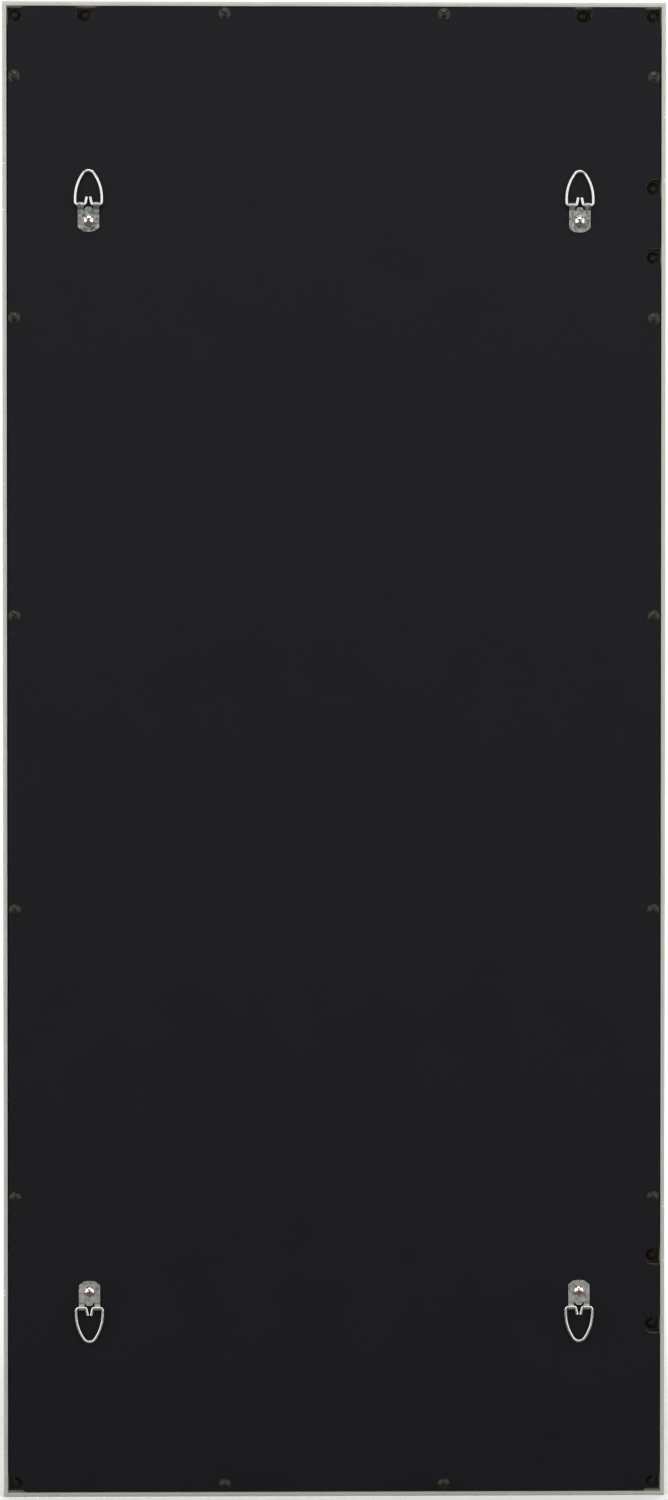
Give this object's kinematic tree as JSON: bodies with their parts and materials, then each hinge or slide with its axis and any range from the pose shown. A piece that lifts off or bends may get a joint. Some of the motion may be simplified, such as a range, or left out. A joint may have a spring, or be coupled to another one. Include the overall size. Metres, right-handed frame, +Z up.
{
  "type": "window mirror",
  "caption": "Tall wall mirror with a slim metal frame, window-style glazing bars, a dark screwed-on backing board and wire ring hangers on rolled straps.",
  "frame": {"origin": "centre of the backing board's rear face, which is the face towards the wall", "axes": "+X to the right seen from the front, +Y to the rear towards the wall, +Z up"},
  "size_m": [0.508, 0.0289, 1.146],
  "materials": {
    "frame_metal": "satin, pale champagne silver",
    "bar_metal": "satin, pale champagne silver",
    "key_metal": "mill finish",
    "mirror": "polished glass, silvered at the rear",
    "board": "fibreboard faced in matte black",
    "tape": "foam glazing tape",
    "block_rubber": "matte",
    "strap_zinc": "zinc-plated sheet",
    "ring_wire": "bright plated wire",
    "bright_screw": "polished",
    "black_screw": "black oxide"
  },
  "bodies": {
    "frame": {"backing_board": "board", "board_screws_bottom": "black_screw", "board_screws_left": "black_screw", "board_screws_right": "black_screw", "board_screws_top": "black_screw", "bottom_rail": "frame_metal", "corner_key_bottom_left": "key_metal", "corner_key_bottom_right": "key_metal", "corner_key_top_left": "key_metal", "corner_key_top_right": "key_metal", "corner_screws": "black_screw", "cross_bar_1": "bar_metal", "cross_bar_2": "bar_metal", "cross_bar_3": "bar_metal", "cross_bar_4": "bar_metal", "glazing_tape_bottom": "tape", "glazing_tape_left": "tape", "glazing_tape_right": "tape", "glazing_tape_top": "tape", "hanger_screw_bottom_left": "bright_screw", "hanger_screw_bottom_right": "bright_screw", "hanger_screw_top_left": "bright_screw", "hanger_screw_top_right": "bright_screw", "hanger_strap_bottom_left": "strap_zinc", "hanger_strap_bottom_right": "strap_zinc", "hanger_strap_top_left": "strap_zinc", "hanger_strap_top_right": "strap_zinc", "left_stile": "frame_metal", "mirror_glass": "mirror", "right_stile": "frame_metal", "setting_blocks": "block_rubber", "side_block_screws": "black_screw", "side_edge_blocks": "block_rubber", "top_block_screws": "black_screw", "top_edge_blocks": "block_rubber", "top_rail": "frame_metal", "upright_bar_left": "bar_metal", "upright_bar_right": "bar_metal"},
    "ring_top_left": {"hanger_ring_top_left": "ring_wire"},
    "ring_top_right": {"hanger_ring_top_right": "ring_wire"},
    "ring_bottom_left": {"hanger_ring_bottom_left": "ring_wire"},
    "ring_bottom_right": {"hanger_ring_bottom_right": "ring_wire"}
  },
  "joints": [
    {"name": "ring_swing_top_left", "type": "hinge", "parent": "frame", "child": "ring_top_left", "pos_m": [-0.188, 0.00205, 0.41776], "axis": [-1, 0, 0], "range_deg": [0, 135]},
    {"name": "ring_swing_top_right", "type": "hinge", "parent": "frame", "child": "ring_top_right", "pos_m": [0.188, 0.00205, 0.41776], "axis": [-1, 0, 0], "range_deg": [0, 135]},
    {"name": "ring_swing_bottom_left", "type": "hinge", "parent": "frame", "child": "ring_bottom_left", "pos_m": [-0.188, 0.00205, -0.42726], "axis": [1, 0, 0], "range_deg": [-2, 133]},
    {"name": "ring_swing_bottom_right", "type": "hinge", "parent": "frame", "child": "ring_bottom_right", "pos_m": [0.188, 0.00205, -0.42726], "axis": [1, 0, 0], "range_deg": [-2, 133]}
  ]
}
